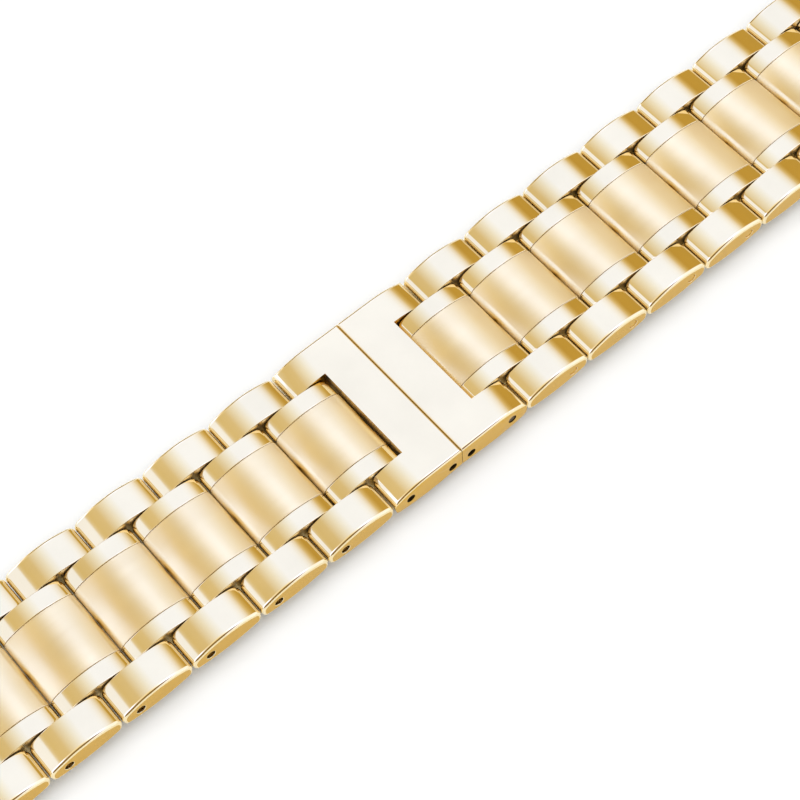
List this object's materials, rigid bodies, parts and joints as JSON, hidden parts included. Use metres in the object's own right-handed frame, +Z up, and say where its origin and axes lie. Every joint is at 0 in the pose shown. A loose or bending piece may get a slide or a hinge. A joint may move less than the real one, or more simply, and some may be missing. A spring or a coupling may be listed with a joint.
{
  "type": "watch bracelet",
  "caption": "Gold-toned steel watch bracelet, closed and lying straight, with arched three-row links and a folding clasp hidden under two flat covers.",
  "frame": {"origin": "under the seam of the closed clasp, at the middle of the bracelet's width, on the surface that the base plate rests on", "axes": "+X along the bracelet towards its right-hand case end, +Y across it, +Z up, out of the wrist"},
  "size_m": [0.15, 0.0224, 0.0052],
  "materials": {
    "polished_gold": "polished",
    "brushed_gold": "brushed along the band's width",
    "bare_steel": "turned"
  },
  "bodies": {
    "base": {"clasp_base": "polished_gold", "base_hinge_pins": "bare_steel"},
    "wing_right": {"clasp_wing_right": "polished_gold"},
    "cover_right": {"clasp_cover_right": "polished_gold", "cover_pins_right": "polished_gold"},
    "centre_right_1": {"centre_link_right_1": "brushed_gold"},
    "outer_right_1": {"outer_links_right_1": "polished_gold", "link_pins_right_1": "polished_gold"},
    "centre_right_2": {"centre_link_right_2": "brushed_gold"},
    "outer_right_2": {"outer_links_right_2": "polished_gold", "link_pins_right_2": "polished_gold"},
    "centre_right_3": {"centre_link_right_3": "brushed_gold"},
    "outer_right_3": {"outer_links_right_3": "polished_gold", "link_pins_right_3": "polished_gold"},
    "centre_right_4": {"centre_link_right_4": "brushed_gold"},
    "outer_right_4": {"outer_links_right_4": "polished_gold", "link_pins_right_4": "polished_gold"},
    "centre_right_5": {"centre_link_right_5": "brushed_gold"},
    "outer_right_5": {"outer_links_right_5": "polished_gold", "link_pins_right_5": "polished_gold"},
    "centre_right_6": {"centre_link_right_6": "brushed_gold"},
    "outer_right_6": {"outer_links_right_6": "polished_gold", "link_pins_right_6": "polished_gold"},
    "centre_right_7": {"centre_link_right_7": "brushed_gold"},
    "outer_right_7": {"outer_links_right_7": "polished_gold", "link_pins_right_7": "polished_gold"},
    "end_right": {"end_link_right": "polished_gold", "spring_bar_right": "bare_steel"},
    "tip_right_near": {"bar_tip_right_near": "bare_steel"},
    "tip_right_far": {"bar_tip_right_far": "bare_steel"},
    "wing_left": {"clasp_wing_left": "polished_gold"},
    "cover_left": {"clasp_cover_left": "polished_gold", "cover_pins_left": "polished_gold"},
    "centre_left_1": {"centre_link_left_1": "brushed_gold"},
    "outer_left_1": {"outer_links_left_1": "polished_gold", "link_pins_left_1": "polished_gold"},
    "centre_left_2": {"centre_link_left_2": "brushed_gold"},
    "outer_left_2": {"outer_links_left_2": "polished_gold", "link_pins_left_2": "polished_gold"},
    "centre_left_3": {"centre_link_left_3": "brushed_gold"},
    "outer_left_3": {"outer_links_left_3": "polished_gold", "link_pins_left_3": "polished_gold"},
    "centre_left_4": {"centre_link_left_4": "brushed_gold"},
    "outer_left_4": {"outer_links_left_4": "polished_gold", "link_pins_left_4": "polished_gold"},
    "centre_left_5": {"centre_link_left_5": "brushed_gold"},
    "outer_left_5": {"outer_links_left_5": "polished_gold", "link_pins_left_5": "polished_gold"},
    "centre_left_6": {"centre_link_left_6": "brushed_gold"},
    "outer_left_6": {"outer_links_left_6": "polished_gold", "link_pins_left_6": "polished_gold"},
    "centre_left_7": {"centre_link_left_7": "brushed_gold"},
    "outer_left_7": {"outer_links_left_7": "polished_gold", "link_pins_left_7": "polished_gold"},
    "end_left": {"end_link_left": "polished_gold", "spring_bar_left": "bare_steel"},
    "tip_left_near": {"bar_tip_left_near": "bare_steel"},
    "tip_left_far": {"bar_tip_left_far": "bare_steel"}
  },
  "joints": [
    {"name": "wing_right_hinge", "type": "hinge", "parent": "base", "child": "wing_right", "pos_m": [0.0145, 0, 0.001], "axis": [0, -1, 0], "range_deg": [-150, 0]},
    {"name": "cover_right_hinge", "type": "hinge", "parent": "wing_right", "child": "cover_right", "pos_m": [0.00125, 0, 0.00315], "axis": [0, -1, 0], "range_deg": [0, 100]},
    {"name": "centre_right_1_hinge", "type": "hinge", "parent": "cover_right", "child": "centre_right_1", "pos_m": [0.00683, 0, 0.00345], "axis": [0, 1, 0], "range_deg": [-6, 0]},
    {"name": "outer_right_1_hinge", "type": "hinge", "parent": "centre_right_1", "child": "outer_right_1", "pos_m": [0.01107, 0, 0.00345], "axis": [0, 1, 0], "range_deg": [-6, 0]},
    {"name": "centre_right_2_hinge", "type": "hinge", "parent": "outer_right_1", "child": "centre_right_2", "pos_m": [0.01533, 0, 0.00345], "axis": [0, 1, 0], "range_deg": [-6, 18]},
    {"name": "outer_right_2_hinge", "type": "hinge", "parent": "centre_right_2", "child": "outer_right_2", "pos_m": [0.01957, 0, 0.00345], "axis": [0, 1, 0], "range_deg": [-6, 18]},
    {"name": "centre_right_3_hinge", "type": "hinge", "parent": "outer_right_2", "child": "centre_right_3", "pos_m": [0.02382, 0, 0.00345], "axis": [0, 1, 0], "range_deg": [-6, 18]},
    {"name": "outer_right_3_hinge", "type": "hinge", "parent": "centre_right_3", "child": "outer_right_3", "pos_m": [0.02807, 0, 0.00345], "axis": [0, 1, 0], "range_deg": [-6, 18]},
    {"name": "centre_right_4_hinge", "type": "hinge", "parent": "outer_right_3", "child": "centre_right_4", "pos_m": [0.03232, 0, 0.00345], "axis": [0, 1, 0], "range_deg": [-6, 18]},
    {"name": "outer_right_4_hinge", "type": "hinge", "parent": "centre_right_4", "child": "outer_right_4", "pos_m": [0.03658, 0, 0.00345], "axis": [0, 1, 0], "range_deg": [-6, 18]},
    {"name": "centre_right_5_hinge", "type": "hinge", "parent": "outer_right_4", "child": "centre_right_5", "pos_m": [0.04083, 0, 0.00345], "axis": [0, 1, 0], "range_deg": [-6, 18]},
    {"name": "outer_right_5_hinge", "type": "hinge", "parent": "centre_right_5", "child": "outer_right_5", "pos_m": [0.04507, 0, 0.00345], "axis": [0, 1, 0], "range_deg": [-6, 18]},
    {"name": "centre_right_6_hinge", "type": "hinge", "parent": "outer_right_5", "child": "centre_right_6", "pos_m": [0.04933, 0, 0.00345], "axis": [0, 1, 0], "range_deg": [-6, 18]},
    {"name": "outer_right_6_hinge", "type": "hinge", "parent": "centre_right_6", "child": "outer_right_6", "pos_m": [0.05357, 0, 0.00345], "axis": [0, 1, 0], "range_deg": [-6, 18]},
    {"name": "centre_right_7_hinge", "type": "hinge", "parent": "outer_right_6", "child": "centre_right_7", "pos_m": [0.05783, 0, 0.00345], "axis": [0, 1, 0], "range_deg": [-6, 18]},
    {"name": "outer_right_7_hinge", "type": "hinge", "parent": "centre_right_7", "child": "outer_right_7", "pos_m": [0.06207, 0, 0.00345], "axis": [0, 1, 0], "range_deg": [-6, 18]},
    {"name": "end_right_hinge", "type": "hinge", "parent": "outer_right_7", "child": "end_right", "pos_m": [0.06632, 0, 0.00345], "axis": [0, 1, 0], "range_deg": [-6, 18]},
    {"name": "tip_right_near_slide", "type": "slide", "parent": "end_right", "child": "tip_right_near", "axis": [0, 1, 0], "range_m": [0, 0.0013], "stiffness_N_per_m": 250, "springref_m": -0.001},
    {"name": "tip_right_far_slide", "type": "slide", "parent": "end_right", "child": "tip_right_far", "axis": [0, -1, 0], "range_m": [0, 0.0013], "stiffness_N_per_m": 250, "springref_m": -0.001},
    {"name": "wing_left_hinge", "type": "hinge", "parent": "base", "child": "wing_left", "pos_m": [-0.0145, 0, 0.001], "axis": [0, -1, 0], "range_deg": [0, 150]},
    {"name": "cover_left_hinge", "type": "hinge", "parent": "wing_left", "child": "cover_left", "pos_m": [-0.00125, 0, 0.00315], "axis": [0, -1, 0], "range_deg": [-100, 0]},
    {"name": "centre_left_1_hinge", "type": "hinge", "parent": "cover_left", "child": "centre_left_1", "pos_m": [-0.00683, 0, 0.00345], "axis": [0, 1, 0], "range_deg": [0, 6]},
    {"name": "outer_left_1_hinge", "type": "hinge", "parent": "centre_left_1", "child": "outer_left_1", "pos_m": [-0.01107, 0, 0.00345], "axis": [0, 1, 0], "range_deg": [0, 6]},
    {"name": "centre_left_2_hinge", "type": "hinge", "parent": "outer_left_1", "child": "centre_left_2", "pos_m": [-0.01533, 0, 0.00345], "axis": [0, 1, 0], "range_deg": [-18, 6]},
    {"name": "outer_left_2_hinge", "type": "hinge", "parent": "centre_left_2", "child": "outer_left_2", "pos_m": [-0.01957, 0, 0.00345], "axis": [0, 1, 0], "range_deg": [-18, 6]},
    {"name": "centre_left_3_hinge", "type": "hinge", "parent": "outer_left_2", "child": "centre_left_3", "pos_m": [-0.02382, 0, 0.00345], "axis": [0, 1, 0], "range_deg": [-18, 6]},
    {"name": "outer_left_3_hinge", "type": "hinge", "parent": "centre_left_3", "child": "outer_left_3", "pos_m": [-0.02807, 0, 0.00345], "axis": [0, 1, 0], "range_deg": [-18, 6]},
    {"name": "centre_left_4_hinge", "type": "hinge", "parent": "outer_left_3", "child": "centre_left_4", "pos_m": [-0.03232, 0, 0.00345], "axis": [0, 1, 0], "range_deg": [-18, 6]},
    {"name": "outer_left_4_hinge", "type": "hinge", "parent": "centre_left_4", "child": "outer_left_4", "pos_m": [-0.03658, 0, 0.00345], "axis": [0, 1, 0], "range_deg": [-18, 6]},
    {"name": "centre_left_5_hinge", "type": "hinge", "parent": "outer_left_4", "child": "centre_left_5", "pos_m": [-0.04083, 0, 0.00345], "axis": [0, 1, 0], "range_deg": [-18, 6]},
    {"name": "outer_left_5_hinge", "type": "hinge", "parent": "centre_left_5", "child": "outer_left_5", "pos_m": [-0.04507, 0, 0.00345], "axis": [0, 1, 0], "range_deg": [-18, 6]},
    {"name": "centre_left_6_hinge", "type": "hinge", "parent": "outer_left_5", "child": "centre_left_6", "pos_m": [-0.04933, 0, 0.00345], "axis": [0, 1, 0], "range_deg": [-18, 6]},
    {"name": "outer_left_6_hinge", "type": "hinge", "parent": "centre_left_6", "child": "outer_left_6", "pos_m": [-0.05357, 0, 0.00345], "axis": [0, 1, 0], "range_deg": [-18, 6]},
    {"name": "centre_left_7_hinge", "type": "hinge", "parent": "outer_left_6", "child": "centre_left_7", "pos_m": [-0.05783, 0, 0.00345], "axis": [0, 1, 0], "range_deg": [-18, 6]},
    {"name": "outer_left_7_hinge", "type": "hinge", "parent": "centre_left_7", "child": "outer_left_7", "pos_m": [-0.06207, 0, 0.00345], "axis": [0, 1, 0], "range_deg": [-18, 6]},
    {"name": "end_left_hinge", "type": "hinge", "parent": "outer_left_7", "child": "end_left", "pos_m": [-0.06632, 0, 0.00345], "axis": [0, 1, 0], "range_deg": [-18, 6]},
    {"name": "tip_left_near_slide", "type": "slide", "parent": "end_left", "child": "tip_left_near", "axis": [0, 1, 0], "range_m": [0, 0.0013], "stiffness_N_per_m": 250, "springref_m": -0.001},
    {"name": "tip_left_far_slide", "type": "slide", "parent": "end_left", "child": "tip_left_far", "axis": [0, -1, 0], "range_m": [0, 0.0013], "stiffness_N_per_m": 250, "springref_m": -0.001}
  ],
  "couplings": [
    {"joint": "cover_right_hinge", "follows": "wing_right_hinge", "ratio": -0.6666},
    {"joint": "cover_left_hinge", "follows": "wing_left_hinge", "ratio": -0.6666}
  ]
}
